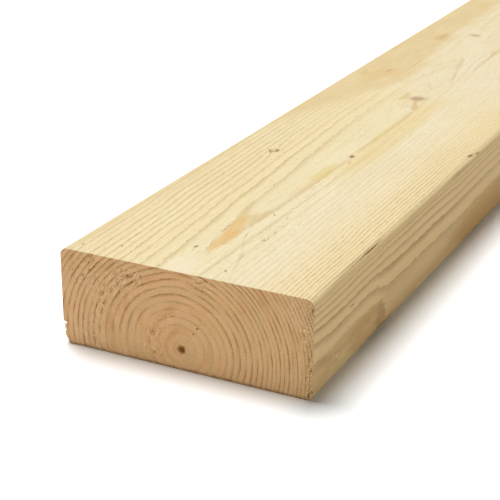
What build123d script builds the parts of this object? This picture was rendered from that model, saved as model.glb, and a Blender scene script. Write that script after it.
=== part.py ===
from build123d import *
import os

# A length of structural softwood, planed to a regular section and trimmed square at both ends.
# It lies on its wide face: X runs across its width, Y along its length and Z up through its thickness.
# The origin is at the middle of the underside. The end that is looked at is the one at -Y, and left
# and right are as seen from there. All sizes are in millimetres.

# Section and length
length = 1800.0
width = 125.0
thickness = 47.0

# The planer rounds each of the four long edges, and each cutter leaves its own radius
upper_left_easing = 3.4
upper_right_easing = 4.2
lower_left_easing = 3.8
lower_right_easing = 3.0

# Split in the upper right edge. It starts a little way in from the end, opens slowly and closes fast
split_from_end = 12.0
split_length = 66.0
split_widest_at = 51.0
split_width = 0.9
split_depth = 1.8
split_lean = 45.0

# Two chips where the saw broke out through the left side of the end: the large one and the small one
large_chip_height_up = 10.4
large_chip_opening = 1.2
large_chip_depth = 1.5
large_chip_length = 5.0
small_chip_height_up = 6.6
small_chip_opening = 0.9
small_chip_depth = 0.7
small_chip_length = 3.0

# The lower left corner of the end is crushed, from under the large chip down to the underside
crush_top = 10.1
crush_depth = 0.8
crush_turn_up = 4.0
crush_foot = 3.4
crush_length = 9.0

# How far each cut stands out of the wood, so that it cuts right through the surface
overcut = 0.5

near_end = -length / 2
left_side = -width / 2
right_side = width / 2


def planed_section():
    """The section as a rectangle on the ground, with each corner rounded by its own easing."""
    easings = {
        (left_side, thickness): upper_left_easing,
        (right_side, thickness): upper_right_easing,
        (left_side, 0.0): lower_left_easing,
        (right_side, 0.0): lower_right_easing,
    }
    with BuildSketch() as section:
        with Locations((0, thickness / 2)):
            Rectangle(width, thickness)
        for corner, easing in easings.items():
            nearest = section.vertices().sort_by_distance((corner[0], corner[1], 0))[0]
            fillet(nearest, radius=easing)
    return section.sketch


def planed_length():
    """The section, stood up at the near end and drawn along the whole length."""
    upright = Plane(origin=(0, near_end, 0), x_dir=(1, 0, 0), z_dir=(0, -1, 0))
    return extrude(upright * planed_section(), amount=-length)


def edge_split():
    """A thin wedge in the rounded edge, widest near its far tip, that runs with the grain."""
    round_centre = Vector(right_side - upper_right_easing, 0, thickness - upper_right_easing)
    outward = Vector(1, 0, 0).rotate(Axis.Y, -split_lean)
    across = outward.cross(Vector(0, 1, 0))
    surface = round_centre + outward * upper_right_easing
    start = near_end + split_from_end
    proud = surface + outward * overcut
    spread = split_width / 2 * (split_depth + overcut) / split_depth
    widest = Vector(0, start + split_widest_at, 0)
    mouth = make_face(
        Polyline(
            widest + proud + across * spread,
            widest + proud - across * spread,
            widest + surface - outward * split_depth,
            close=True,
        )
    )
    near_tip = Vertex(*(proud + Vector(0, start, 0)))
    far_tip = Vertex(*(proud + Vector(0, start + split_length, 0)))
    return loft([near_tip, mouth], ruled=True) + loft([mouth, far_tip], ruled=True)


def side_chip(height_up, opening, depth, run):
    """A three-sided chip out of the left side, deepest at the sawn end and gone after its run."""
    spread = opening / 2 * (depth + overcut) / depth
    past_end = near_end - overcut
    outside = left_side - overcut
    mouth = make_face(
        Polyline(
            (outside, past_end, height_up + spread),
            (outside, past_end, height_up - spread),
            (left_side + depth, past_end, height_up),
            close=True,
        )
    )
    return loft([mouth, Vertex(outside, near_end + run, height_up)], ruled=True)


def crushed_corner():
    """What the crushing took from the corner of the end, deepest at the sawn end and gone after its run."""
    past_end = near_end - overcut
    outside = left_side - overcut
    crushed_side = left_side + crush_depth
    mouth = make_face(
        Polyline(
            (outside, past_end, crush_top),
            (crushed_side, past_end, crush_top - crush_depth / 2),
            (crushed_side, past_end, crush_turn_up),
            (left_side + crush_foot, past_end, -overcut),
            (outside, past_end, -overcut),
            close=True,
        )
    )
    return loft([mouth, Vertex(outside, near_end + crush_length, crush_turn_up)], ruled=True)


plank = planed_length()
plank -= edge_split()
plank -= side_chip(large_chip_height_up, large_chip_opening, large_chip_depth, large_chip_length)
plank -= side_chip(small_chip_height_up, small_chip_opening, small_chip_depth, small_chip_length)
plank -= crushed_corner()

os.makedirs("parts", exist_ok=True)
export_step(plank, "parts/plank.step")
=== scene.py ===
import math
import bmesh
import bpy
from mathutils import Matrix, Vector, noise


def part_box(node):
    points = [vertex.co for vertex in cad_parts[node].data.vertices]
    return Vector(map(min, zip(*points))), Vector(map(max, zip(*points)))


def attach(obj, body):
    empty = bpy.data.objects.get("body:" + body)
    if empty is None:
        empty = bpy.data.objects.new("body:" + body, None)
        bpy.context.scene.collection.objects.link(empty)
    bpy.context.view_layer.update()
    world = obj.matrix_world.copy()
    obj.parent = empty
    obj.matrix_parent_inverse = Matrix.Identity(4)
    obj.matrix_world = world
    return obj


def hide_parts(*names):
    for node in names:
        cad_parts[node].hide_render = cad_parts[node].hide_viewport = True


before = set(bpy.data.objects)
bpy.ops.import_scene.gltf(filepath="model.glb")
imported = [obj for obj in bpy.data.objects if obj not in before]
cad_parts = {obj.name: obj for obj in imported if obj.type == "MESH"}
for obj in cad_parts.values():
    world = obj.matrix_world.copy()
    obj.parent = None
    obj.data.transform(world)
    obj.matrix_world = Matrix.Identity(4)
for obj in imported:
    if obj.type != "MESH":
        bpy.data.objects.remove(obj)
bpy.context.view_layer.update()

# The plank. One length of spruce sawn out of the middle of a log, so that the pith is in it, then planed
# on all four sides with the long edges eased, and trimmed to length with a coarse saw. It is one closed
# skin: a fine mesh on the sawn end, long plain faces, and the split, chips and crushed corner cut out of it.
mm = 0.001
low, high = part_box("plank")
length = high.y - low.y
width = high.x - low.x
thickness = high.z - low.z

upper_left_easing = 3.4 * mm
upper_right_easing = 4.2 * mm
lower_left_easing = 3.8 * mm
lower_right_easing = 3.0 * mm

sawn_end_mesh = 0.4 * mm
pith_across = -0.8 * mm
pith_up = 10.0 * mm

# The long faces are cut into short lengths by the end that shows, and into lengths of 60 mm after that.
close_rows = [1.5, 4, 12, 30]
row_spacing = 60


def from_end(along):
    """The lengthwise place of what lies that far in, in millimetres, from the end that shows."""
    return low.y + along * mm


def eased_corners(mesh):
    """Turns the square corners of a flat grid to quarter rounds, and keeps its lines running."""
    easings = {
        (-1, 1): upper_left_easing,
        (1, 1): upper_right_easing,
        (-1, -1): lower_left_easing,
        (1, -1): lower_right_easing,
    }
    middle = (low.z + high.z) / 2
    for vert in mesh.verts:
        side = -1 if vert.co.x < 0 else 1
        upper = -1 if vert.co.z < middle else 1
        easing = easings[(side, upper)]
        centre_x = side * (width / 2 - easing)
        centre_z = middle + upper * (thickness / 2 - easing)
        out_x = side * (vert.co.x - centre_x) / easing
        out_z = upper * (vert.co.z - centre_z) / easing
        if out_x > 0 and out_z > 0:
            vert.co.x = centre_x + side * easing * out_x * math.sqrt(1 - out_z * out_z / 2)
            vert.co.z = centre_z + upper * easing * out_z * math.sqrt(1 - out_x * out_x / 2)


wood = bmesh.new()
across_cells = round(width / sawn_end_mesh)
up_cells = round(thickness / sawn_end_mesh)
bmesh.ops.create_grid(wood, x_segments=across_cells, y_segments=up_cells, size=0.5)
grid_span = max(vert.co.x for vert in wood.verts) * 2
bmesh.ops.scale(wood, vec=(width / grid_span, thickness / grid_span, 1), verts=wood.verts)
bmesh.ops.rotate(wood, cent=(0, 0, 0), matrix=Matrix.Rotation(math.radians(90), 3, "X"), verts=wood.verts)
bmesh.ops.translate(wood, vec=(0, low.y, (low.z + high.z) / 2), verts=wood.verts)
eased_corners(wood)

rim = [edge for edge in wood.edges if edge.is_boundary]
drawn = bmesh.ops.extrude_edge_only(wood, edges=rim)
far_verts = [item for item in drawn["geom"] if isinstance(item, bmesh.types.BMVert)]
far_edges = [item for item in drawn["geom"] if isinstance(item, bmesh.types.BMEdge) and item.is_boundary]
bmesh.ops.translate(wood, vec=(0, length, 0), verts=far_verts)
bmesh.ops.contextual_create(wood, geom=far_edges)
bmesh.ops.recalc_face_normals(wood, faces=wood.faces)

# A face is one of an end when its normal lies further along the plank than this.
looks_along = 0.7
for along in close_rows + list(range(row_spacing, round(length / mm), row_spacing)):
    long_faces = [face for face in wood.faces if abs(face.normal.y) < looks_along]
    long_edges = dict.fromkeys(edge for face in long_faces for edge in face.edges)
    bmesh.ops.bisect_plane(
        wood, geom=long_faces + list(long_edges), plane_co=(0, from_end(along), 0), plane_no=(0, 1, 0)
    )

planed_slot = 0
sawn_slot = 1
for face in wood.faces:
    face.material_index = sawn_slot if abs(face.normal.y) > looks_along else planed_slot

skin = bpy.data.meshes.new("plank_of_spruce")
wood.to_mesh(skin)
wood.free()
plank = bpy.data.objects.new("plank_of_spruce", skin)
bpy.context.scene.collection.objects.link(plank)

# What is cut out of it: the chips and the crushed corner on the left of the end, as blunt spikes that run
# in from the end, and the split in the upper right edge, as a ragged spindle that lies in the edge. Each
# starts a little outside the wood.
past_end = 0.5
past_side = 0.6

# Without a seed the rough sides of the spikes would come out differently on each run.
noise.seed_set(5)


def cut_away(mesh):
    """Takes a closed shape out of the plank at once. What that lays open is sawn wood."""
    bmesh.ops.triangulate(mesh, faces=mesh.faces)
    bmesh.ops.recalc_face_normals(mesh, faces=mesh.faces)
    for face in mesh.faces:
        face.material_index = sawn_slot
    cut_mesh = bpy.data.meshes.new("cut")
    mesh.to_mesh(cut_mesh)
    mesh.free()
    cutter = bpy.data.objects.new("cut", cut_mesh)
    bpy.context.scene.collection.objects.link(cutter)
    cutting = plank.modifiers.new("cut away", "BOOLEAN")
    cutting.object = cutter
    cutting.operation = "DIFFERENCE"
    cutting.solver = "EXACT"
    whole = bpy.data.meshes.new_from_object(plank.evaluated_get(bpy.context.evaluated_depsgraph_get()))
    plank.modifiers.remove(cutting)
    plank.data = whole
    bpy.data.objects.remove(cutter)
    bpy.data.meshes.remove(cut_mesh)


def spike(mouth, tip, roughness, seed):
    """A spike from the corners of its mouth, just outside the end, to a tip further in, with rough sides."""
    mesh = bmesh.new()
    cone = bmesh.ops.create_cone(mesh, cap_ends=True, segments=len(mouth), radius1=mm, radius2=0, depth=mm)
    around = [vert for vert in cone["verts"] if vert.co.z < 0]
    point = next(vert for vert in cone["verts"] if vert.co.z > 0)
    around.sort(key=lambda vert: math.atan2(vert.co.y, vert.co.x))
    for vert, (across, up) in zip(around, mouth):
        vert.co = (across * mm, from_end(-past_end), up * mm)
    point.co = (tip[0] * mm, from_end(tip[1]), tip[2] * mm)
    drawn = bmesh.ops.subdivide_edges(mesh, edges=mesh.edges, cuts=5, use_grid_fill=True)
    for vert in [item for item in drawn["geom"] if isinstance(item, bmesh.types.BMVert)]:
        vert.co += noise.noise_vector(vert.co / mm * 1.3 + Vector((seed, 0, 0))) * roughness * mm
    return mesh


left = -width / 2 / mm
outside = left - past_side
cut_away(spike([(outside, 9.2), (left + 2.4, 10.3), (outside, 11.5)], (outside, 8.0, 6.2), 0.18, 3))
cut_away(spike([(outside, 5.3), (left + 1.8, 6.6), (outside, 7.7)], (outside, 6.0, 3.6), 0.12, 7))
crushed = [
    (outside, -past_side),
    (left + 3.4, -past_side),
    (left + 0.8, 4.0),
    (left + 0.8, 9.7),
    (outside, 10.1),
]
cut_away(spike(crushed, (outside, 9.0, 4.0), 0.2, 11))

# The split: how far along it each station lies, how wide it is there, and how deep, in millimetres.
split_stations = (
    (12.0, 0.05, 0.1),
    (22.0, 0.20, 0.15),
    (34.0, 0.22, 0.25),
    (49.0, 0.25, 0.4),
    (57.0, 0.42, 1.1),
    (63.0, 0.62, 1.6),
    (69.0, 0.50, 1.2),
    (73.0, 0.26, 0.5),
    (78.0, 0.05, 0.1),
)
split_lean = math.radians(45)
split_steps = 60
split_start = split_stations[0][0]
split_run = split_stations[-1][0] - split_start
easing_centre = Vector((width / 2 - upper_right_easing, 0, thickness - upper_right_easing))
spindle = bmesh.new()
bmesh.ops.create_cone(spindle, cap_ends=True, segments=6, radius1=1, radius2=1, depth=split_run)
lying_down = Matrix.Rotation(math.radians(-90), 3, "X")
bmesh.ops.rotate(spindle, cent=(0, 0, 0), matrix=lying_down, verts=spindle.verts)
bmesh.ops.translate(spindle, vec=(0, split_start + split_run / 2, 0), verts=spindle.verts)
for step in range(1, split_steps):
    bmesh.ops.bisect_plane(
        spindle,
        geom=list(spindle.verts) + list(spindle.edges) + list(spindle.faces),
        plane_co=(0, split_start + split_run * step / split_steps, 0),
        plane_no=(0, 1, 0),
    )
for vert in spindle.verts:
    along = vert.co.y
    for (start, *first), (end, *last) in zip(split_stations, split_stations[1:]):
        if start <= along + 0.001 and along <= end + 0.001:
            share = (along - start) / (end - start)
            opening, depth = [a + (b - a) * share for a, b in zip(first, last)]
    wander = noise.noise(Vector((along / 5.0, 0, 0))) * 0.35
    wander += noise.noise(Vector((along / 1.1, 5, 0))) * 0.12
    turn = split_lean + (vert.co.x * opening / 2 + wander) * mm / upper_right_easing
    out = Vector((math.cos(turn), 0, math.sin(turn)))
    reach = upper_right_easing + vert.co.z * depth * mm
    vert.co = easing_centre + out * reach + Vector((0, from_end(along), 0))
cut_away(spindle)
skin = plank.data
wood = bmesh.new()
wood.from_mesh(skin)

# The saw tore fibres out of the end in bands along the rings. Each band is given by its distance from the
# pith and how wide it is, its turn round the pith in degrees and how far it reaches, how deep it is torn,
# and how much fibre stands up in it.
torn_bands = (
    (38.5, 4.8, 134.0, 15.0, 2.3, 1.6),
    (43.5, 4.0, 156.0, 17.0, 2.5, 1.4),
    (15.0, 5.0, 172.0, 28.0, 1.5, 1.0),
    (15.0, 3.5, 112.0, 20.0, 1.0, 0.8),
    (47.0, 6.5, 186.0, 8.0, 0.7, 2.6),
    (56.0, 6.0, 146.0, 12.0, 1.9, 1.0),
    (34.0, 6.0, 73.0, 12.0, 0.9, 0.8),
    (62.0, 2.0, 10.0, 32.0, 1.5, 0.8),
    (68.0, 3.0, 28.0, 8.0, 1.0, 0.6),
)

# Single holes in the end: across from the middle, up from the underside, half its width, and depth.
pits = (
    (-0.8, 10.0, 1.2, 0.8),
    (-14.7, 5.7, 0.55, 0.7),
    (-10.8, 5.4, 0.45, 0.5),
    (2.7, 15.3, 0.35, 0.4),
    (5.0, 18.9, 0.4, 0.6),
    (7.0, 21.9, 0.45, 0.7),
    (8.6, 24.2, 0.35, 0.4),
    (61.6, 42.6, 0.5, 0.7),
    (60.6, 2.2, 0.6, 0.9),
    (62.0, 4.4, 0.5, 0.8),
    (61.8, 9.6, 0.4, 0.6),
    (61.2, 14.0, 0.4, 0.5),
    (11.0, 45.6, 0.5, 0.4),
    (-53.0, 43.2, 0.4, 0.5),
    (-56.5, 37.5, 0.4, 0.5),
)


def torn_fibre(x, z):
    """How deep the saw tore the end at that place, in millimetres. Below zero, fibre is raised."""
    from_pith = Vector((x - pith_across, z - pith_up)) / mm
    radius = from_pith.length
    angle = math.degrees(math.atan2(from_pith.y, from_pith.x))
    along_ring = math.radians(angle) * radius
    dashes = noise.noise(Vector((radius / 0.6, along_ring / 2.8, 0.0)))
    flecks = noise.noise(Vector((radius / 0.8, along_ring / 1.3, 9.0)))
    depth = 0.0
    for ring, ring_spread, turn, turn_spread, out_of_it, raised in torn_bands:
        off_turn = (angle - turn + 180) % 360 - 180
        inside = math.exp(-(((radius - ring) / ring_spread) ** 2) - (off_turn / turn_spread) ** 2)
        depth += max(0.0, dashes - 0.22) * inside * out_of_it
        depth -= max(0.0, flecks - 0.25) * inside * raised
    for pit_x, pit_z, pit_radius, pit_depth in pits:
        away = math.hypot(x / mm - pit_x, z / mm - pit_z) / pit_radius
        depth += pit_depth * math.exp(-(away ** 4))
    return depth


torn = wood.verts.layers.float.new("torn")
for vert in wood.verts:
    if abs(vert.co.y - low.y) < 0.001 * mm:
        vert[torn] = torn_fibre(vert.co.x, vert.co.z)
        vert.co.y += max(0.0, vert[torn]) * mm

# One torn fibre is left standing in the large chip.
fibre = bmesh.ops.create_cone(
    wood, cap_ends=True, segments=6, radius1=0.24 * mm, radius2=0.08 * mm, depth=2.2 * mm
)
fibre_lean = Matrix.Rotation(math.radians(-78), 3, "Y")
bmesh.ops.rotate(wood, cent=(0, 0, 0), matrix=fibre_lean, verts=fibre["verts"])
bmesh.ops.translate(wood, vec=((left + 1.12) * mm, from_end(0.3), 10.5 * mm), verts=fibre["verts"])
for vert in fibre["verts"]:
    for face in vert.link_faces:
        face.material_index = planed_slot

skin.clear_geometry()
wood.to_mesh(skin)
wood.free()


def linear(hex_colour):
    """The linear colour of an sRGB hex value, with full alpha."""
    channels = [int(hex_colour[i:i + 2], 16) / 255 for i in (1, 3, 5)]
    return [c / 12.92 if c <= 0.04045 else ((c + 0.055) / 1.055) ** 2.4 for c in channels] + [1.0]


def add(tree, kind, inputs=None, **settings):
    """A new node with its settings, and its inputs set to values or linked to sockets or nodes."""
    node = tree.nodes.new("ShaderNode" + kind)
    for name, value in settings.items():
        setattr(node, name, value)
    for name, value in (inputs or {}).items():
        if isinstance(value, bpy.types.Node):
            value = value.outputs[0]
        if isinstance(value, bpy.types.NodeSocket):
            tree.links.new(value, node.inputs[name])
        else:
            node.inputs[name].default_value = value
    return node


# Knots. Each is a branch that grew out of the pith, thin at its root and round in section. It is given by
# where it comes out of the plank, along from the end that shows, across from the middle and up from the
# underside, then its radius there in millimetres, and how dark it is.
knots = (
    (167.0, -36.5, 47.0, 2.2, 0.20),
    (177.0, 5.0, 47.0, 1.35, 0.40),
    (296.0, -2.0, 47.0, 4.2, 0.46),
    (465.0, -20.5, 47.0, 3.3, 0.30),
    (1130.0, 22.0, 47.0, 5.0, 0.65),
    (1500.0, -14.0, 47.0, 4.0, 0.60),
    (980.0, -20.0, 0.0, 4.0, 0.60),
    (1400.0, 62.5, 28.0, 4.5, 0.65),
    (640.0, -62.5, 20.0, 4.0, 0.60),
)

# The pith isn't straight. A few distances along the plank, then its place across, the place across that the
# outer rings are centred on, which bend less, and its place up.
pith_path = (
    (0.0, -0.8, -0.8, 10.0),
    (20.0, -1.2, -1.2, 10.2),
    (50.0, -1.8, -1.3, 10.8),
    (64.0, -2.0, -1.3, 11.0),
    (74.0, -2.4, -2.0, 11.2),
    (85.0, -2.9, -2.9, 11.5),
    (110.0, -3.1, -3.0, 11.8),
    (178.0, -5.0, -3.2, 12.7),
    (250.0, -6.9, -3.0, 12.9),
    (345.0, -8.1, -3.5, 12.3),
    (378.0, -9.2, -4.0, 11.2),
    (402.0, -9.5, -4.2, 10.6),
    (480.0, -9.0, -4.5, 11.4),
    (700.0, -6.0, -4.0, 14.5),
    (1000.0, -4.0, -2.5, 12.5),
    (1400.0, -8.0, -5.0, 16.0),
    (1800.0, -2.0, -1.5, 13.5),
)
path_span = 30.0

# How many rings lie within that many millimetres of the pith, on its right side.
ring_count = (
    (0.0, 0.0),
    (8.2, 2.0),
    (16.0, 4.0),
    (26.2, 7.0),
    (35.3, 10.0),
    (42.7, 13.0),
    (48.7, 16.0),
    (55.0, 19.0),
    (64.0, 24.0),
    (65.6, 25.0),
    (67.3, 26.0),
    (68.6, 27.0),
    (70.1, 28.0),
    (71.2, 29.0),
    (72.5, 30.0),
    (90.0, 43.0),
)


def pith_at(along):
    """The pith's place across and up, that far along the plank, in millimetres."""
    for (start, *first), (end, *last) in zip(pith_path, pith_path[1:]):
        if along <= end:
            share = (along - start) / (end - start)
            across, _, up = [a + (b - a) * share for a, b in zip(first, last)]
            return across, up


def lead_through(curve_node, points, handles):
    """Leads the line of a curve node through those points, all between 0 and 1."""
    curve = curve_node.mapping.curves[0]
    while len(curve.points) < len(points):
        curve.points.new(0.5, 0.5)
    for point, place_on_curve in zip(curve.points, points):
        point.location = place_on_curve
        point.handle_type = handles
    curve_node.mapping.update()


growth = bpy.data.node_groups.new("growth of spruce", "ShaderNodeTree")
for name in ("Rings", "Radius", "Arc", "Knot", "Knot rim"):
    growth.interface.new_socket(name, in_out="OUTPUT", socket_type="NodeSocketFloat")
for name in ("Place", "Grain"):
    growth.interface.new_socket(name, in_out="OUTPUT", socket_type="NodeSocketVector")

# Every place is turned to millimetres, measured along from the end that shows.
length_mm = length / mm
where = add(growth, "TexCoord").outputs["Object"]
place = add(
    growth, "Mapping", {"Vector": where, "Location": (0, length_mm / 2, 0), "Scale": (1000, 1000, 1000)}
)

# The grain wanders in long slow waves, with small quick ones on top.
shifted = place
for waves_across, waves_along, wander in ((38, 260, 0.9), (11, 60, 0.5), (3.0, 14, 0.3)):
    stretched = add(
        growth, "Mapping", {"Vector": place, "Scale": (1 / waves_across, 1 / waves_along, 1 / waves_across)}
    )
    drift = add(growth, "TexNoise", {"Vector": stretched, "Scale": 1.0, "Detail": 1.0}).outputs["Color"]
    centred = add(growth, "VectorMath", {0: drift, 1: (0.5, 0.5, 0.5)}, operation="SUBTRACT")
    drift = add(growth, "VectorMath", {0: centred, 1: (wander, 0, wander)}, operation="MULTIPLY")
    shifted = add(growth, "VectorMath", {0: shifted, 1: drift}, operation="ADD")

# The grain parts round each knot, further along the plank than across it.
knot_inside = 0.0
knot_rim = 0.0
for along, across, up, radius, darkness in knots:
    beside_pith, above_pith = pith_at(along)
    root_along = along - 0.25 * math.hypot(across - beside_pith, up - above_pith)
    root_across, root_up = pith_at(root_along)
    root = Vector((root_across, root_along, root_up))
    branch = Vector((across, along, up)) - root
    way = branch.normalized()
    from_root = add(growth, "VectorMath", {0: place, 1: root}, operation="SUBTRACT")
    out_along = add(growth, "VectorMath", {0: from_root, 1: way}, operation="DOT_PRODUCT").outputs["Value"]
    on_branch = add(growth, "VectorMath", {0: way, "Scale": out_along}, operation="SCALE")
    off = add(growth, "VectorMath", {0: from_root, 1: on_branch}, operation="SUBTRACT")
    thickening = radius / branch.length
    girth = add(growth, "Math", {0: out_along, 1: thickening, 2: 0.2}, operation="MULTIPLY_ADD")
    girth = add(growth, "Math", {0: girth, 1: 0.05}, operation="MAXIMUM")
    distance = add(growth, "VectorMath", {0: off}, operation="LENGTH").outputs["Value"]
    near = add(growth, "Math", {0: distance, 1: girth}, operation="DIVIDE")
    squeezed = add(growth, "VectorMath", {0: off, 1: (1, 0.3, 1)}, operation="MULTIPLY")
    squeezed_distance = add(growth, "VectorMath", {0: squeezed}, operation="LENGTH").outputs["Value"]
    spread = add(growth, "Math", {0: squeezed_distance, 1: girth}, operation="DIVIDE")
    fade = add(growth, "Math", {0: spread, 1: spread, 2: 1.0}, operation="MULTIPLY_ADD")
    push = add(growth, "Math", {0: girth, 1: fade}, operation="DIVIDE")
    flat_off = add(growth, "VectorMath", {0: off, 1: (1, 0, 1)}, operation="MULTIPLY")
    outward = add(growth, "VectorMath", {0: flat_off}, operation="NORMALIZE")
    parted = add(growth, "VectorMath", {0: outward, "Scale": push}, operation="SCALE")
    shifted = add(growth, "VectorMath", {0: shifted, 1: parted}, operation="SUBTRACT")
    inside = add(growth, "MapRange", {"Value": near, "From Min": 1.3, "From Max": 0.6, "To Max": darkness})
    knot_inside = add(growth, "Math", {0: knot_inside, 1: inside}, operation="MAXIMUM")
    halo = add(growth, "MapRange", {"Value": near, "From Min": 2.2, "From Max": 1.0, "To Max": darkness})
    knot_rim = add(growth, "Math", {0: knot_rim, 1: halo}, operation="MAXIMUM")

# Past the split the grain at the right side bends, more near the top than low down, and then eases back.
from_middle = add(growth, "SeparateXYZ", {0: place})
bend = add(
    growth,
    "MapRange",
    {"Value": from_middle.outputs["Y"], "From Min": 67.0, "From Max": 84.0, "To Max": -0.95},
    interpolation_type="SMOOTHSTEP",
)
easing_back = add(
    growth,
    "MapRange",
    {"Value": from_middle.outputs["Y"], "From Min": 145.0, "From Max": 185.0, "To Max": 0.55},
)
bend = add(growth, "Math", {0: bend, 1: easing_back}, operation="ADD")
by_the_side = add(
    growth, "MapRange", {"Value": from_middle.outputs["X"], "From Min": 48.0, "From Max": 60.0}
)
bend = add(growth, "Math", {0: bend, 1: by_the_side}, operation="MULTIPLY")
high_up = add(
    growth,
    "MapRange",
    {"Value": from_middle.outputs["Z"], "From Min": 28.0, "From Max": 40.0, "To Min": 0.7, "To Max": 1.6},
)
bend = add(growth, "Math", {0: bend, 1: high_up}, operation="MULTIPLY")
bend = add(growth, "CombineXYZ", {"X": bend})
shifted = add(growth, "VectorMath", {0: shifted, 1: bend}, operation="ADD")

# The centre of the rings, from three curves along the length: its place across for the inner rings and for
# the outer ones, and its place up.
parts = add(growth, "SeparateXYZ", {0: shifted})
share = add(growth, "Math", {0: parts.outputs["Y"], 1: length_mm}, operation="DIVIDE")
centres = []
for column in (1, 2, 3):
    points = [(station[0] / length_mm, 0.5 + station[column] / path_span / 2) for station in pith_path]
    path = add(growth, "FloatCurve", {"Value": share})
    lead_through(path, points, "AUTO_CLAMPED")
    centred = add(growth, "Math", {0: path, 1: 0.5}, operation="SUBTRACT")
    centres.append(add(growth, "Math", {0: centred, 1: 2 * path_span}, operation="MULTIPLY"))
above = add(growth, "Math", {0: parts.outputs["Z"], 1: centres[2]}, operation="SUBTRACT")
beside = add(growth, "Math", {0: parts.outputs["X"], 1: centres[0]}, operation="SUBTRACT")
first_radius = add(growth, "CombineXYZ", {"X": beside, "Z": above})
first_radius = add(growth, "VectorMath", {0: first_radius}, operation="LENGTH").outputs["Value"]
outer = add(growth, "MapRange", {"Value": first_radius, "From Min": 40.0, "From Max": 60.0})
centre = add(growth, "Mix", {"Factor": outer, "A": centres[0], "B": centres[1]})
beside = add(growth, "Math", {0: parts.outputs["X"], 1: centre}, operation="SUBTRACT")
offset = add(growth, "CombineXYZ", {"X": beside, "Z": above})
radius = add(growth, "VectorMath", {0: offset}, operation="LENGTH").outputs["Value"]
turn = add(growth, "Math", {0: beside, 1: above}, operation="ARCTAN2")
arc = add(growth, "Math", {0: turn, 1: radius}, operation="MULTIPLY")

# Rings are wider on the left of the pith than on the right, and they swell in one place at the top face.
swollen_at = (-2.0, 0.0, 47.0)
facing = add(growth, "Math", {0: beside, 1: radius}, operation="DIVIDE")
leftness = add(growth, "Math", {0: facing, 1: -0.5, 2: 0.5}, operation="MULTIPLY_ADD")
leftness = add(growth, "Math", {0: leftness, 1: 3.2}, operation="POWER")
gain = add(growth, "Math", {0: radius, 1: 0.0028, 2: 0.01}, operation="MULTIPLY_ADD")
wider = add(growth, "Math", {0: gain, 1: leftness, 2: 1.0}, operation="MULTIPLY_ADD")
even = add(growth, "Math", {0: radius, 1: wider}, operation="DIVIDE")
swelling = add(growth, "VectorMath", {0: place, 1: swollen_at}, operation="SUBTRACT")
swelling = add(growth, "VectorMath", {0: swelling, 1: (1, 0, 1)}, operation="MULTIPLY")
swelling = add(growth, "VectorMath", {0: swelling}, operation="LENGTH").outputs["Value"]
swelling = add(
    growth,
    "MapRange",
    {"Value": swelling, "From Min": 14.0, "From Max": 0.0, "To Max": 0.9},
    interpolation_type="SMOOTHSTEP",
)
even = add(growth, "Math", {0: even, 1: swelling}, operation="SUBTRACT")
most_radius, most_rings = ring_count[-1]
share = add(growth, "Math", {0: even, 1: most_radius}, operation="DIVIDE")
points = [(out / most_radius, count / most_rings) for out, count in ring_count]
counted = add(growth, "FloatCurve", {"Value": share})
lead_through(counted, points, "AUTO_CLAMPED")
rings = add(growth, "Math", {0: counted, 1: most_rings}, operation="MULTIPLY")
result = growth.nodes.new("NodeGroupOutput")
for name, node in (
    ("Rings", rings),
    ("Radius", even),
    ("Arc", arc),
    ("Knot", knot_inside),
    ("Knot rim", knot_rim),
    ("Place", place),
    ("Grain", shifted),
):
    growth.links.new(node.outputs[0], result.inputs[name])

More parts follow.
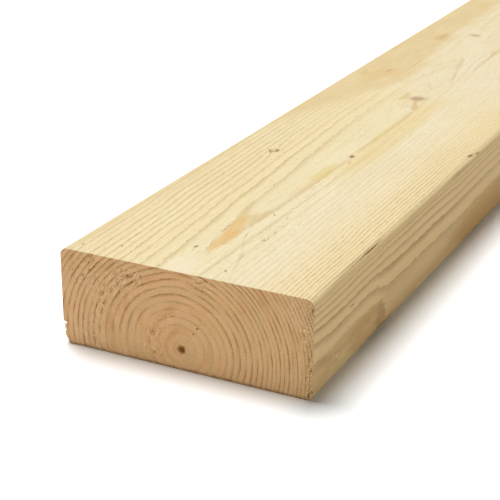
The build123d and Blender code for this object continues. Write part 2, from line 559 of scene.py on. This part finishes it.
# Short strokes on the planed faces: specks, torn grain and small resin streaks. Each runs from one point to
# another, given by the distance along and then across on the top face, or up on the right side. Then come
# its width and how dark it is.
top_strokes = (
    (28.2, -9.0, 29.8, -8.8, 1.3, 0.85),
    (24.0, -8.3, 27.5, -8.8, 0.7, 0.25),
    (32.5, -3.7, 37.0, -4.8, 0.5, 0.45),
    (50.0, -6.7, 57.0, -7.5, 0.6, 0.40),
    (57.5, -7.7, 59.0, -7.5, 0.9, 0.50),
    (47.5, 6.0, 55.4, 4.3, 0.45, 0.55),
    (31.0, 12.8, 47.5, 6.1, 0.8, 0.22),
    (55.4, 4.3, 68.0, 1.8, 0.7, 0.16),
    (48.9, 15.0, 50.0, 15.2, 1.2, 0.75),
    (51.5, 16.0, 53.0, 15.6, 0.8, 0.45),
    (59.4, 15.6, 61.4, 15.4, 0.8, 0.55),
    (67.0, 13.6, 69.5, 16.0, 0.8, 0.40),
    (79.6, 5.9, 81.4, 5.1, 0.9, 0.60),
    (78.8, 12.7, 80.2, 12.5, 0.8, 0.45),
    (9.9, 16.1, 11.2, 15.4, 1.1, 0.65),
    (12.0, 18.4, 26.0, 14.8, 0.9, 0.26),
    (25.5, 14.9, 32.0, 13.2, 2.2, 0.24),
    (13.5, -38.6, 15.5, -39.0, 0.8, 0.80),
    (6.8, -55.1, 9.2, -55.8, 0.8, 0.70),
    (8.0, -44.2, 9.5, -44.4, 0.9, 0.22),
    (58.0, -22.2, 67.0, -22.8, 1.2, 0.20),
    (36.0, -37.8, 42.0, -37.8, 0.7, 0.22),
    (48.0, -24.4, 51.0, -24.8, 0.9, 0.16),
    (120.0, 7.0, 124.5, 6.7, 1.1, 0.28),
    (141.0, 10.1, 144.0, 9.8, 0.7, 0.30),
    (66.0, 55.4, 69.0, 55.9, 0.9, 0.45),
    (30.0, 60.3, 58.0, 60.6, 0.8, 0.34),
    (52.0, 60.9, 78.0, 60.9, 1.1, 0.42),
    (80.0, 58.8, 84.0, 59.0, 0.8, 0.35),
    (162.8, -36.3, 167.2, -38.9, 1.0, 0.85),
    (166.7, -34.8, 168.8, -34.4, 1.5, 1.0),
    (168.6, -34.9, 170.2, -36.6, 1.0, 0.75),
    (165.0, -36.4, 166.4, -35.0, 0.9, 0.65),
    (168.5, -31.8, 173.0, -33.2, 0.8, 0.16),
    (206.0, 59.8, 212.0, 60.4, 1.3, 0.85),
    (215.0, 61.2, 220.0, 61.6, 1.3, 0.75),
    (231.0, 12.1, 237.0, 12.0, 0.8, 0.35),
    (175.8, 4.9, 178.8, 4.6, 1.8, 0.85),
    (182.0, 4.9, 205.0, 5.3, 0.8, 0.22),
    (203.0, 5.2, 216.0, 6.4, 0.8, 0.22),
    (216.0, 6.4, 240.0, 5.6, 0.9, 0.24),
    (236.0, 5.8, 272.0, 5.2, 1.1, 0.24),
    (150.0, 12.3, 232.0, 12.2, 0.7, 0.24),
    (238.0, 12.4, 300.0, 10.8, 0.9, 0.22),
    (210.0, 16.2, 216.0, 15.8, 1.6, 0.14),
    (224.0, 20.2, 230.0, 19.0, 1.0, 0.18),
    (236.0, -16.4, 242.0, -15.4, 1.6, 0.12),
    (152.0, 17.6, 300.0, 16.2, 0.8, 0.15),
    (165.0, 8.2, 169.0, 7.2, 1.4, 0.30),
    (325.0, -12.0, 329.0, -7.0, 1.2, 0.20),
    (329.0, -7.0, 320.0, -1.5, 1.2, 0.22),
    (337.0, 5.6, 368.0, -1.7, 1.1, 0.15),
    (368.0, -1.7, 390.0, -6.0, 1.2, 0.12),
    (372.0, -19.0, 384.0, -14.5, 1.6, 0.18),
    (370.0, 8.4, 396.0, 5.6, 1.0, 0.22),
    (396.0, 5.6, 416.0, 8.4, 1.0, 0.18),
    (386.0, -44.8, 393.0, -44.0, 2.2, 0.14),
    (360.0, -31.0, 382.0, -31.5, 0.8, 0.30),
    (344.5, -41.0, 352.0, -40.6, 2.0, 0.32),
    (388.0, -12.0, 394.0, -10.0, 2.4, 0.18),
    (462.0, -10.8, 470.0, -10.3, 1.4, 0.18),
    (447.0, -40.0, 455.0, -39.6, 2.2, 0.16),
)
side_strokes = (
    (39.4, 28.2, 43.5, 27.9, 0.9, 0.75),
    (36.5, 19.4, 39.6, 18.4, 0.6, 0.30),
    (71.5, 25.2, 73.6, 24.4, 0.8, 0.35),
    (19.5, 8.4, 22.5, 7.4, 0.9, 0.18),
    (3.0, 42.5, 6.0, 39.0, 0.9, 0.20),
    (76.0, 3.0, 96.0, 3.4, 1.4, 0.30),
)


def emptied_tree(owner):
    """The node tree of a material or a world, without the nodes that Blender puts in it."""
    owner.use_nodes = True
    owner.node_tree.nodes.clear()
    return owner.node_tree


def lay_colours(ramp_node, stops):
    """Sets the stops of a colour ramp, each given by its place and its colour."""
    ramp = ramp_node.color_ramp
    for stop, _ in stops[2:]:
        ramp.elements.new(stop)
    for element, (stop, colour) in zip(ramp.elements, stops):
        element.position = stop
        element.color = linear(colour)


# Planed spruce. Knives cut it clean across the fibres, so it is matt with a faint silky streak along the
# grain, cream between the rings and straw on them, and ambered where resin soaked it.
planed_spruce = bpy.data.materials.new("planed spruce")
tree = emptied_tree(planed_spruce)
grown = add(tree, "Group", node_tree=growth)
spot = add(tree, "SeparateXYZ", {0: grown.outputs["Place"]})

# Between the rings the colour changes across the top, and the narrow sides are painted browner than the top:
# painted shade, so both sides take the darker colour of a side turned away from the lamp.
across_share = add(tree, "MapRange", {"Value": spot.outputs["X"], "From Min": left, "From Max": -left})
early = add(tree, "ValToRGB", {0: across_share})
lay_colours(
    early, ((0.0, "#F6E6BB"), (0.3, "#F8E7B8"), (0.47, "#F7EBC4"), (0.74, "#F8ECCC"), (0.92, "#F8E3B2"))
)
sideways = add(tree, "Math", {0: spot.outputs["X"]}, operation="ABSOLUTE")
side_face = add(
    tree,
    "MapRange",
    {"Value": sideways, "From Min": 60.8, "From Max": 62.3},
    interpolation_type="SMOOTHSTEP",
)
# Painted shade: the sides get a darker, browner colour than the top.
base = add(tree, "Mix", {0: side_face, 6: early, 7: linear("#E9C381")}, data_type="RGBA").outputs[2]
blotch_at = add(tree, "Mapping", {"Vector": grown.outputs["Grain"], "Scale": (1 / 9, 1 / 24, 1 / 9)})
blotch = add(tree, "TexNoise", {"Vector": blotch_at, "Scale": 1.0, "Detail": 3.0})

# Toward the far end a tan region widens over the left of the top, and narrows again.
widening = add(
    tree,
    "MapRange",
    {"Value": spot.outputs["Y"], "From Min": 220.0, "From Max": 330.0, "To Min": 56.0, "To Max": 22.0},
)
narrowing = add(
    tree, "MapRange", {"Value": spot.outputs["Y"], "From Min": 330.0, "From Max": 480.0, "To Max": 12.0}
)
edge_of_tan = add(tree, "Math", {0: blotch, 1: 22.0, 2: -11.0}, operation="MULTIPLY_ADD")
edge_of_tan = add(tree, "Math", {0: edge_of_tan, 1: spot.outputs["X"]}, operation="ADD")
edge_of_tan = add(tree, "Math", {0: edge_of_tan, 1: widening}, operation="ADD")
edge_of_tan = add(tree, "Math", {0: edge_of_tan, 1: narrowing}, operation="ADD")
tan = add(tree, "MapRange", {"Value": edge_of_tan, "From Min": 3.0, "From Max": -5.0})
far_off = add(
    tree, "MapRange", {"Value": spot.outputs["Y"], "From Min": 285.0, "From Max": 335.0, "To Max": 0.6}
)
base = add(tree, "Mix", {0: far_off, 6: base, 7: linear("#F8EDD3")}, data_type="RGBA").outputs[2]
tan_colour = add(
    tree, "Mix", {0: blotch, 6: linear("#F7E4B8"), 7: linear("#DFBF80")}, data_type="RGBA"
).outputs[2]
base = add(tree, "Mix", {0: tan, 6: base, 7: tan_colour}, data_type="RGBA").outputs[2]

# Slow cloudy patches, then fibre streaks 0.8 mm and 0.35 mm wide. Real fibres are 0.03 mm, too fine to show.
cloud_at = add(tree, "Mapping", {"Vector": grown.outputs["Grain"], "Scale": (1 / 16, 1 / 70, 1 / 16)})
cloud = add(tree, "TexNoise", {"Vector": cloud_at, "Scale": 1.0, "Detail": 2.0})
cloud = add(tree, "MapRange", {"Value": cloud, "From Min": 0.35, "From Max": 0.75, "To Max": 0.3})
base = add(tree, "Mix", {0: cloud, 6: base, 7: linear("#EBD49C")}, data_type="RGBA").outputs[2]
streak_at = add(tree, "Mapping", {"Vector": grown.outputs["Grain"], "Scale": (1 / 0.8, 1 / 26, 1 / 0.8)})
streak = add(tree, "TexNoise", {"Vector": streak_at, "Scale": 1.0, "Detail": 3.0, "Roughness": 0.6})
streaked = add(tree, "MapRange", {"Value": streak, "From Min": 0.32, "From Max": 0.7, "To Max": 0.5})
base = add(tree, "Mix", {0: streaked, 6: base, 7: linear("#E3CC98")}, data_type="RGBA").outputs[2]
dash_at = add(tree, "Mapping", {"Vector": grown.outputs["Grain"], "Scale": (1 / 0.35, 1 / 4.5, 1 / 0.35)})
dash = add(tree, "TexNoise", {"Vector": dash_at, "Scale": 1.0, "Detail": 1.0})
dashed = add(tree, "MapRange", {"Value": dash, "From Min": 0.55, "From Max": 0.75, "To Max": 0.48})
base = add(tree, "Mix", {0: dashed, 6: base, 7: linear("#CFB27C")}, data_type="RGBA").outputs[2]

# Late wood: it darkens slowly through a year's ring and ends sharply. Some years are darker than others.
frayed_at = add(tree, "Mapping", {"Vector": grown.outputs["Grain"], "Scale": (1 / 0.7, 1 / 4.5, 1 / 0.7)})
frayed = add(tree, "TexNoise", {"Vector": frayed_at, "Scale": 1.0, "Detail": 2.0, "Roughness": 0.6})
fray = add(tree, "Math", {0: frayed, 1: 0.5}, operation="SUBTRACT")
fray_reach = add(tree, "MapRange", {"Value": side_face, "To Min": 0.5, "To Max": 0.22})
fray = add(tree, "Math", {0: fray, 1: fray_reach}, operation="MULTIPLY")
frayed_rings = add(tree, "Math", {0: grown.outputs["Rings"], 1: fray}, operation="ADD")
within = add(tree, "Math", {0: frayed_rings}, operation="FRACT")
rise_from = add(tree, "MapRange", {"Value": side_face, "To Min": 0.56, "To Max": 0.36})
rise = add(
    tree,
    "MapRange",
    {"Value": within, "From Min": rise_from, "From Max": 1.0},
    interpolation_type="SMOOTHSTEP",
)
drop = add(
    tree, "MapRange", {"Value": within, "From Min": 1.0, "From Max": 0.95}, interpolation_type="SMOOTHSTEP"
)
late = add(tree, "Math", {0: rise, 1: drop}, operation="MULTIPLY")
year = add(tree, "Math", {0: frayed_rings}, operation="FLOOR")
luck = add(tree, "TexWhiteNoise", {"W": year}, noise_dimensions="1D").outputs["Value"]
strength = add(tree, "MapRange", {"Value": luck, "To Min": 0.55, "To Max": 1.0})
late = add(tree, "Math", {0: late, 1: strength}, operation="MULTIPLY")

# The late wood is paler in two strips of the top, further along, where the fibre is worn, at the foot of the
# sides and in the tan region. By the right edge and on the sides it is darker.
faint_points = (
    (0.0, 1.0),
    (0.37, 1.0),
    (0.42, 0.65),
    (0.47, 0.5),
    (0.52, 0.9),
    (0.55, 0.9),
    (0.6, 0.5),
    (0.82, 0.48),
    (0.87, 1.0),
    (1.0, 1.0),
)
faint = add(tree, "FloatCurve", {"Value": across_share})
lead_through(faint, faint_points, "AUTO")
late = add(tree, "Math", {0: late, 1: faint}, operation="MULTIPLY")
fading = add(
    tree,
    "MapRange",
    {"Value": spot.outputs["Y"], "From Min": 150.0, "From Max": 300.0, "To Min": 1.0, "To Max": 0.32},
)
late = add(tree, "Math", {0: late, 1: fading}, operation="MULTIPLY")
worn = add(tree, "MapRange", {"Value": frayed, "From Min": 0.7, "From Max": 0.35, "To Min": 0.5})
late = add(tree, "Math", {0: late, 1: worn}, operation="MULTIPLY")
low_down = add(
    tree, "MapRange", {"Value": spot.outputs["Z"], "From Min": 6.0, "From Max": 24.0, "To Min": 0.35}
)
late = add(tree, "Math", {0: late, 1: low_down}, operation="MULTIPLY")
in_tan = add(tree, "MapRange", {"Value": tan, "To Min": 1.0, "To Max": 0.45})
late = add(tree, "Math", {0: late, 1: in_tan}, operation="MULTIPLY")
right_edge = add(tree, "MapRange", {"Value": spot.outputs["X"], "From Min": 38.0, "From Max": 50.0})
late_colour = add(
    tree, "Mix", {0: right_edge, 6: linear("#C9A96B"), 7: linear("#AE8441")}, data_type="RGBA"
).outputs[2]
late_colour = add(
    tree, "Mix", {0: side_face, 6: late_colour, 7: linear("#A4773A")}, data_type="RGBA"
).outputs[2]
base = add(tree, "Mix", {0: late, 6: base, 7: late_colour}, data_type="RGBA").outputs[2]

# Stains, with edges that follow the grain. Each is given by its middle and half its size, both across, along
# and up, then its lean in degrees, its colour and how strong it is. It ends a little past half its size.
feather_at = add(tree, "Mapping", {"Vector": grown.outputs["Place"], "Scale": (1 / 2.2, 1 / 14, 1 / 2.2)})
feather = add(
    tree, "TexNoise", {"Vector": feather_at, "Scale": 1.0, "Detail": 3.0, "Roughness": 0.6}
).outputs["Color"]
feather = add(tree, "VectorMath", {0: feather, 1: (0.5, 0.5, 0.5)}, operation="SUBTRACT")
feather = add(tree, "VectorMath", {0: feather, 1: (5.0, 20.0, 5.0)}, operation="MULTIPLY")
feathered = add(tree, "VectorMath", {0: grown.outputs["Place"], 1: feather}, operation="ADD")
stains = (
    ((-4.0, 7.0, 47.0), (9.0, 11.0, 3.0), 0.0, "#F7EBD3", 0.28),
    ((-1.4, 40.0, 47.0), (3.9, 15.0, 3.0), 0.0, "#E9BA6C", 0.55),
    ((-4.0, 58.0, 47.0), (4.1, 18.0, 3.0), 9.0, "#E6B566", 0.60),
    ((-3.6, 71.0, 47.0), (2.8, 9.0, 3.0), 0.0, "#E2BE78", 0.45),
    ((-9.6, 80.0, 47.0), (2.4, 16.0, 3.0), 9.0, "#D8B87A", 0.40),
    ((0.4, 76.0, 47.0), (2.2, 11.0, 3.0), -6.0, "#D3B26A", 0.40),
    ((3.2, 135.0, 47.0), (2.4, 30.0, 3.0), -1.5, "#E0C280", 0.32),
    ((1.8, 147.0, 47.0), (3.2, 16.0, 3.0), 0.0, "#E6CB7C", 0.55),
    ((11.0, 222.0, 47.0), (9.0, 90.0, 3.0), 0.0, "#EBCF80", 0.40),
    ((5.4, 235.0, 47.0), (1.3, 48.0, 3.0), 0.0, "#DCC278", 0.30),
    ((2.0, 281.0, 47.0), (2.3, 12.0, 3.0), 19.0, "#D9A46A", 0.52),
    ((-10.5, 299.0, 47.0), (2.6, 10.0, 3.0), 0.0, "#D2B672", 0.50),
    ((-44.0, 334.0, 47.0), (8.0, 20.0, 3.0), -4.0, "#DFBC74", 0.40),
    ((-53.0, 336.0, 47.0), (2.6, 6.0, 3.0), 0.0, "#CBAE74", 0.35),
    ((-40.0, 449.0, 47.0), (5.0, 12.0, 3.0), 4.0, "#D2AC70", 0.45),
    ((-1.0, 366.0, 47.0), (1.3, 34.0, 3.0), 10.0, "#DABC88", 0.35),
    ((-6.5, 388.0, 47.0), (1.9, 16.0, 3.0), 10.0, "#DDBA80", 0.40),
    ((7.4, 404.0, 47.0), (1.2, 34.0, 3.0), 2.0, "#DABC88", 0.35),
    ((6.6, 425.0, 47.0), (2.2, 13.0, 3.0), 2.0, "#DDBA7C", 0.45),
    ((62.5, 38.0, 14.5), (4.0, 50.0, 3.6), 0.0, "#AE7A34", 0.34),
    ((62.5, 58.0, 10.0), (4.0, 24.0, 8.5), 0.0, "#BA8740", 0.34),
    ((62.5, 77.5, 7.0), (4.0, 6.0, 10.0), 0.0, "#93611A", 0.42),
    ((62.5, 252.0, 8.0), (4.0, 85.0, 12.5), 0.0, "#BE8C3C", 0.62),
    ((62.5, 72.0, 0.5), (4.0, 24.0, 4.0), 0.0, "#967A36", 0.42),
)
stain_ends_at = 1.15
for middle, half, lean, colour, strength in stains:
    placed = add(
        tree,
        "Mapping",
        {
            "Vector": feathered,
            "Location": middle,
            "Rotation": (0, 0, math.radians(lean)),
            "Scale": [size * stain_ends_at for size in half],
        },
        vector_type="TEXTURE",
    )
    inward = add(tree, "TexGradient", {"Vector": placed}, gradient_type="SPHERICAL").outputs[1]
    stain = add(
        tree,
        "MapRange",
        {"Value": inward, "From Max": 0.48, "To Max": strength},
        interpolation_type="SMOOTHSTEP",
    )
    base = add(tree, "Mix", {0: stain, 6: base, 7: linear(colour)}, data_type="RGBA").outputs[2]

# The strokes, slightly ragged. Faint ones are amber brown and dark ones olive brown. Each ends at one and a
# half times its width.
ragged = add(
    tree, "TexNoise", {"Vector": grown.outputs["Place"], "Scale": 1.1, "Detail": 2.0}
).outputs["Color"]
ragged = add(tree, "VectorMath", {0: ragged, 1: (0.5, 0.5, 0.5)}, operation="SUBTRACT")
ragged = add(tree, "VectorMath", {0: ragged, "Scale": 1.1}, operation="SCALE")
ragged = add(tree, "VectorMath", {0: grown.outputs["Place"], 1: ragged}, operation="ADD")
stroke_ends_at = 1.5
stroke_shade = 0.0
for on_top, strokes in ((True, top_strokes), (False, side_strokes)):
    for start, first, end, last, stroke_width, darkness in strokes:
        middle = (start + end) / 2
        over = (first + last) / 2
        half_width = stroke_width / 2 * stroke_ends_at
        half_run = (math.hypot(end - start, last - first) / 2 + stroke_width / 2) * stroke_ends_at
        lean = math.atan2(last - first, end - start)
        placed = add(
            tree,
            "Mapping",
            {
                "Vector": ragged,
                "Location": (over, middle, thickness / mm) if on_top else (width / 2 / mm, middle, over),
                "Rotation": (0, 0, -lean) if on_top else (lean, 0, 0),
                "Scale": (half_width, half_run, 3.0) if on_top else (3.0, half_run, half_width),
            },
            vector_type="TEXTURE",
        )
        inward = add(tree, "TexGradient", {"Vector": placed}, gradient_type="SPHERICAL").outputs[1]
        stroke = add(tree, "MapRange", {"Value": inward, "From Max": 0.667, "To Max": darkness})
        stroke_shade = add(tree, "Math", {0: stroke_shade, 1: stroke}, operation="MAXIMUM")
stroke_colour = add(
    tree, "Mix", {0: stroke_shade, 6: linear("#C0914E"), 7: linear("#5F4A22")}, data_type="RGBA"
).outputs[2]
base = add(tree, "Mix", {0: stroke_shade, 6: base, 7: stroke_colour}, data_type="RGBA").outputs[2]

# The knots, brown, with a ring of tan wood round each.
halo = add(tree, "Math", {0: grown.outputs["Knot rim"], 1: 0.4}, operation="MULTIPLY")
base = add(tree, "Mix", {0: halo, 6: base, 7: linear("#D6AC7A")}, data_type="RGBA").outputs[2]
base = add(
    tree, "Mix", {0: grown.outputs["Knot"], 6: base, 7: linear("#86521F")}, data_type="RGBA"
).outputs[2]

# The knives leave the fibres faintly ribbed.
rib_at = add(tree, "Mapping", {"Vector": grown.outputs["Place"], "Scale": (1 / 0.6, 1 / 5, 1 / 0.6)})
ribs = add(tree, "TexNoise", {"Vector": rib_at, "Scale": 1.0, "Detail": 2.0, "Roughness": 0.6})
relief = add(tree, "Bump", {"Height": ribs, "Distance": mm, "Strength": 0.2})
gloss = add(
    tree, "MapRange", {"Value": streak, "From Min": 0.3, "From Max": 0.7, "To Min": 0.52, "To Max": 0.68}
)
surface = add(
    tree, "BsdfPrincipled", {"Base Color": base, "Roughness": gloss, "IOR": 1.5, "Normal": relief}
)
add(tree, "OutputMaterial", {"Surface": surface})

# Sawn end. The saw crossed every fibre, and open fibre ends drink the light, so it is the brownest face.
# Its rings are thin dark lines, and it is stippled, with holes darkened by painted shade and whiskers paled
# by a painted highlight where fibre tore.
sawn_spruce = bpy.data.materials.new("sawn end of spruce")
tree = emptied_tree(sawn_spruce)
grown = add(tree, "Group", node_tree=growth)
spot = add(tree, "SeparateXYZ", {0: grown.outputs["Place"]})
across_share = add(tree, "MapRange", {"Value": spot.outputs["X"], "From Min": left, "From Max": -left})
base = add(tree, "ValToRGB", {0: across_share})
lay_colours(base, ((0.1, "#ECBE8B"), (0.4, "#EABA85"), (0.65, "#EABC86"), (0.95, "#E4BC87")))

# Warm and pale clouds about 6 mm across, drawn out along the rings, and straw bands 3.5 mm across.
polar = add(tree, "CombineXYZ", {"X": grown.outputs["Radius"], "Y": grown.outputs["Arc"]})
cloud_at = add(tree, "Mapping", {"Vector": polar, "Scale": (1 / 6, 1 / 14, 1)})
cloud = add(tree, "TexNoise", {"Vector": cloud_at, "Scale": 1.0, "Detail": 3.0})
warm = add(tree, "MapRange", {"Value": cloud, "From Min": 0.5, "From Max": 0.75, "To Max": 0.55})
base = add(tree, "Mix", {0: warm, 6: base, 7: linear("#CC9359")}, data_type="RGBA").outputs[2]
pale = add(tree, "MapRange", {"Value": cloud, "From Min": 0.5, "From Max": 0.28, "To Max": 0.5})
base = add(tree, "Mix", {0: pale, 6: base, 7: linear("#E0BC8C")}, data_type="RGBA").outputs[2]
tinge_at = add(
    tree, "Mapping", {"Vector": polar, "Location": (7.0, 3.0, 0.0), "Scale": (1 / 3.5, 1 / 30, 1)}
)
tinge = add(tree, "TexNoise", {"Vector": tinge_at, "Scale": 1.0, "Detail": 2.0})
tinge = add(tree, "MapRange", {"Value": tinge, "From Min": 0.48, "From Max": 0.68, "To Max": 0.55})
base = add(tree, "Mix", {0: tinge, 6: base, 7: linear("#D9B781")}, data_type="RGBA").outputs[2]

# Ring lines, ragged at the scale of the saw's teeth. They are faint by the pith, broken further out, and
# smeared low on the left.
tooth = add(
    tree, "TexNoise", {"Vector": grown.outputs["Place"], "Scale": 0.55, "Detail": 3.0, "Roughness": 0.7}
)
wobble = add(tree, "Math", {0: tooth, 1: 0.45, 2: -0.22}, operation="MULTIPLY_ADD")
wobbled = add(tree, "Math", {0: grown.outputs["Rings"], 1: wobble}, operation="ADD")
within = add(tree, "Math", {0: wobbled}, operation="FRACT")
rise = add(
    tree, "MapRange", {"Value": within, "From Min": 0.5, "From Max": 0.96}, interpolation_type="SMOOTHSTEP"
)
drop = add(
    tree, "MapRange", {"Value": within, "From Min": 1.0, "From Max": 0.96}, interpolation_type="SMOOTHSTEP"
)
late = add(tree, "Math", {0: rise, 1: drop}, operation="MULTIPLY")
year = add(tree, "Math", {0: wobbled}, operation="FLOOR")
luck = add(tree, "TexWhiteNoise", {"W": year}, noise_dimensions="1D").outputs["Value"]
strength = add(tree, "MapRange", {"Value": luck, "To Min": 0.6, "To Max": 1.0})
late = add(tree, "Math", {0: late, 1: strength}, operation="MULTIPLY")
grown_up = add(
    tree, "MapRange", {"Value": grown.outputs["Radius"], "From Min": 6.0, "From Max": 38.0, "To Min": 0.2}
)
late = add(tree, "Math", {0: late, 1: grown_up}, operation="MULTIPLY")
patchy_at = add(tree, "Mapping", {"Vector": polar, "Scale": (1 / 3, 1 / 9, 1)})
patchy = add(tree, "TexNoise", {"Vector": patchy_at, "Scale": 1.0, "Detail": 1.0})
patchy = add(tree, "MapRange", {"Value": patchy, "From Min": 0.32, "From Max": 0.62, "To Min": 0.2})
late = add(tree, "Math", {0: late, 1: patchy}, operation="MULTIPLY")
smeared = add(
    tree, "MapRange", {"Value": spot.outputs["Z"], "From Min": 19.0, "From Max": 5.0, "To Max": 0.65}
)
from_left = add(tree, "MapRange", {"Value": spot.outputs["X"], "From Min": -47.0, "From Max": -40.0})
to_right = add(tree, "MapRange", {"Value": spot.outputs["X"], "From Min": -8.0, "From Max": -16.0})
smeared = add(tree, "Math", {0: smeared, 1: from_left}, operation="MULTIPLY")
smeared = add(tree, "Math", {0: smeared, 1: to_right}, operation="MULTIPLY")
clear = add(tree, "Math", {0: 1.0, 1: smeared}, operation="SUBTRACT")
late = add(tree, "Math", {0: late, 1: clear}, operation="MULTIPLY")
base = add(tree, "Mix", {0: late, 6: base, 7: linear("#9A602A")}, data_type="RGBA").outputs[2]

# Stipple 0.7 mm across and finer, drawn coarser than real fibre ends, which are 0.03 mm.
stipple = add(
    tree, "TexNoise", {"Vector": grown.outputs["Place"], "Scale": 1.5, "Detail": 3.0, "Roughness": 0.75}
)
dark_stipple = add(tree, "MapRange", {"Value": stipple, "From Min": 0.47, "From Max": 0.28, "To Max": 0.75})
base = add(tree, "Mix", {0: dark_stipple, 6: base, 7: linear("#A98152")}, data_type="RGBA").outputs[2]
pale_stipple = add(tree, "MapRange", {"Value": stipple, "From Min": 0.53, "From Max": 0.72, "To Max": 0.6})
base = add(tree, "Mix", {0: pale_stipple, 6: base, 7: linear("#E9C698")}, data_type="RGBA").outputs[2]

# Torn fibre: darkened where it came out, as painted shade in the hollows, and paled where it stands up, as a
# painted highlight on fibre that the mesh does not raise. The strip by the right side is all torn.
torn_out = add(tree, "Attribute", attribute_name="torn").outputs["Fac"]
torn_hole_shade = add(tree, "MapRange", {"Value": torn_out, "From Min": 0.03, "From Max": 0.55, "To Max": 0.6})
base = add(tree, "Mix", {0: torn_hole_shade, 6: base, 7: linear("#8C5E2E")}, data_type="RGBA").outputs[2]
# Painted highlight: raised fibre is drawn pale where the end stays flat.
whisker_highlight = add(tree, "MapRange", {"Value": torn_out, "From Min": -0.01, "From Max": -0.2, "To Max": 0.8})
base = add(tree, "Mix", {0: whisker_highlight, 6: base, 7: linear("#F2D5A2")}, data_type="RGBA").outputs[2]
strip = add(tree, "MapRange", {"Value": spot.outputs["X"], "From Min": 56.5, "From Max": 60.5})
strip_dark = add(tree, "MapRange", {"Value": stipple, "From Min": 0.54, "From Max": 0.36, "To Max": 0.65})
strip_dark = add(tree, "Math", {0: strip_dark, 1: strip}, operation="MULTIPLY")
base = add(tree, "Mix", {0: strip_dark, 6: base, 7: linear("#7E6034")}, data_type="RGBA").outputs[2]

# Along its foot the end gets a ragged dark band: painted shade where it meets the floor.
foot = add(tree, "Math", {0: tooth, 1: -3.0, 2: spot.outputs["Z"]}, operation="MULTIPLY_ADD")
foot = add(tree, "MapRange", {"Value": foot, "From Min": 0.2, "From Max": -1.4, "To Max": 0.75})
base = add(tree, "Mix", {0: foot, 6: base, 7: linear("#6E5230")}, data_type="RGBA").outputs[2]

# The pith, soft and dark brown, with a ragged rim.
pith = add(tree, "Math", {0: tooth, 1: 2.4, 2: grown.outputs["Radius"]}, operation="MULTIPLY_ADD")
pith = add(tree, "MapRange", {"Value": pith, "From Min": 3.9, "From Max": 2.3})
pith = add(tree, "Math", {0: pith, 1: 0.92}, operation="MULTIPLY")
base = add(tree, "Mix", {0: pith, 6: base, 7: linear("#7C4A0C")}, data_type="RGBA").outputs[2]
base = add(
    tree, "Mix", {0: grown.outputs["Knot"], 6: base, 7: linear("#806B3E")}, data_type="RGBA"
).outputs[2]

# The saw leaves the end rough.
roughened = add(tree, "Math", {0: stipple, 1: 0.35}, operation="MULTIPLY")
roughened = add(tree, "Math", {0: tooth, 1: 0.3, 2: roughened}, operation="MULTIPLY_ADD")
relief = add(tree, "Bump", {"Height": roughened, "Distance": mm, "Strength": 1.0})
surface = add(
    tree,
    "BsdfPrincipled",
    {"Base Color": base, "Roughness": 0.85, "IOR": 1.5, "Specular IOR Level": 0.2, "Normal": relief},
)
add(tree, "OutputMaterial", {"Surface": surface})

skin.materials.append(planed_spruce)
skin.materials.append(sawn_spruce)
skin.shade_smooth()
skin.set_sharp_from_angle(angle=math.radians(35))
plank.modifiers.new("flat faces stay flat", "WEIGHTED_NORMAL").keep_sharp = True
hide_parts("plank")
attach(plank, "root")

# The floor. A seamless sheet of white studio paper. To the camera it is overexposed, as in the photograph,
# so that it is white outside the plank's shadow and the shadow is short and deepest at its foot.
paper = bpy.data.materials.new("white studio paper")
tree = emptied_tree(paper)
plain = add(tree, "BsdfDiffuse", {"Color": linear("#EDECEB")})
overexposed = add(tree, "BsdfDiffuse", {"Color": (1.17, 1.19, 1.19, 1.0)})
seen = add(tree, "LightPath").outputs["Is Camera Ray"]
mixed = add(tree, "MixShader", {0: seen, 1: plain, 2: overexposed})
add(tree, "OutputMaterial", {"Surface": mixed})
floor_mesh = bpy.data.meshes.new("studio_floor")
sheet = bmesh.new()
bmesh.ops.create_grid(sheet, x_segments=1, y_segments=1, size=40)
sheet.to_mesh(floor_mesh)
sheet.free()
floor_mesh.materials.append(paper)
studio_floor = bpy.data.objects.new("studio_floor", floor_mesh)
bpy.context.scene.collection.objects.link(studio_floor)

# The light. One broad soft lamp overhead, a little to the left and behind, a low fill from the camera's
# side, and a dim white room.
room = bpy.data.worlds.new("white room")
bpy.context.scene.world = room
tree = emptied_tree(room)
glow = add(tree, "Background", {"Color": (1, 1, 1, 1), "Strength": 0.03})
backdrop = add(tree, "Background", {"Color": (1, 1, 1, 1), "Strength": 1.0})
seen = add(tree, "LightPath").outputs["Is Camera Ray"]
both = add(tree, "MixShader", {0: seen, 1: glow, 2: backdrop})
add(tree, "OutputWorld", {"Surface": both})
for name, energy, angle, towards in (
    ("broad lamp overhead", 3.3, 34, (-0.295, 0.190, 0.936)),
    ("low fill in front", 1.85, 30, (0.51, -0.86, 0.05)),
):
    lamp_data = bpy.data.lights.new(name, "SUN")
    lamp_data.energy = energy
    lamp_data.angle = math.radians(angle)
    lamp = bpy.data.objects.new(name, lamp_data)
    lamp.rotation_euler = Vector(towards).to_track_quat("Z", "Y").to_euler()
    bpy.context.scene.collection.objects.link(lamp)

# The camera. A long lens in front of the end and to its right, looking down on the plank.
eye = bpy.data.cameras.new("camera")
eye.sensor_fit = "HORIZONTAL"
eye.sensor_width = 36
eye.lens = 100.25
camera = bpy.data.objects.new("camera", eye)
camera.location = (269.86 * mm, from_end(-477.83), 286.52 * mm)
camera.rotation_euler = (1.1756, -0.0065, 0.4637)
bpy.context.scene.collection.objects.link(camera)
bpy.context.scene.camera = camera
bpy.context.scene.view_settings.view_transform = "Standard"
